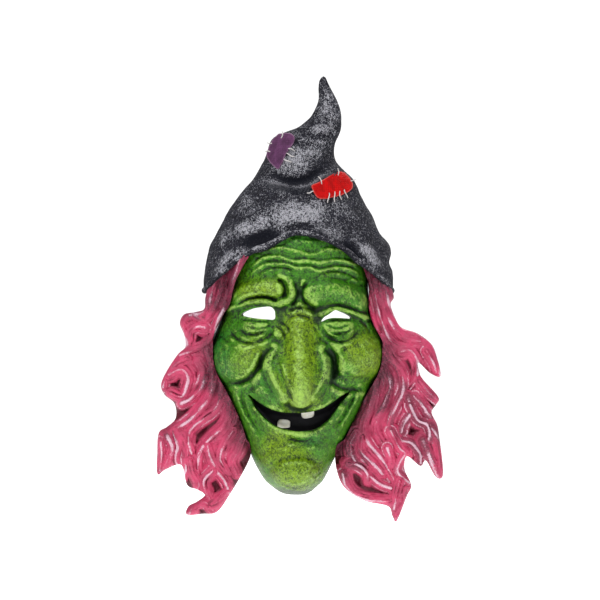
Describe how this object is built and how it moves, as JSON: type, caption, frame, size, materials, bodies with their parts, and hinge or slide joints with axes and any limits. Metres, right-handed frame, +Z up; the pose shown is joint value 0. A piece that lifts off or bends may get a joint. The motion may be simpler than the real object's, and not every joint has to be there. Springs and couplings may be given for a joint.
{
  "type": "latex halloween mask",
  "caption": "Open-backed cast latex witch mask with a hollow bent hat, moulded hair and an elastic head strap that swings on rivets.",
  "frame": {"origin": "eye level on the face's centre line, on the plane of the face's back rim", "axes": "+Z up to the hat's tip, +Y back towards the wearer's head, so the face looks along -Y; +X to the right of someone facing the mask"},
  "size_m": [0.254, 0.1836, 0.3959],
  "materials": {
    "green_latex": "satin painted latex",
    "charcoal_latex": "matt painted latex",
    "pink_latex": "satin painted latex",
    "raw_latex": "unpainted latex",
    "purple_patch": "matt painted latex",
    "red_patch": "matt painted latex",
    "thread": "coarse thread",
    "black_lining": "matt",
    "tooth_white": "glossy",
    "rivet_steel": "satin",
    "eyelet_brass": "satin",
    "black_elastic": "ribbed weave",
    "black_plastic": "moulded"
  },
  "bodies": {
    "mask": {"face_shell": "green_latex", "mouth_liner": "black_lining", "upper_tooth": "tooth_white", "lower_tooth": "tooth_white", "hat_shell": "charcoal_latex", "hat_hem": "charcoal_latex", "patch_purple": "purple_patch", "patch_red": "red_patch", "stitches_purple": "thread", "stitches_red": "thread", "hair_left": "pink_latex", "hair_right": "pink_latex", "side_tab_left": "raw_latex", "side_tab_right": "raw_latex", "rivet_left": "rivet_steel", "rivet_right": "rivet_steel", "washers_left": "rivet_steel", "washers_right": "rivet_steel"},
    "strap": {"eyelet_left": "eyelet_brass", "eyelet_right": "eyelet_brass", "strap_left": "black_elastic", "strap_right": "black_elastic"},
    "slider": {"strap_slider": "black_plastic"}
  },
  "joints": [
    {"name": "strap_swing", "type": "hinge", "parent": "mask", "child": "strap", "pos_m": [0, 0.009, 0.03], "axis": [1, 0, 0], "range_deg": [-60, 45]},
    {"name": "slider_slide", "type": "slide", "parent": "strap", "child": "slider", "axis": [1, 0, 0], "range_m": [-0.02, 0.02]}
  ]
}
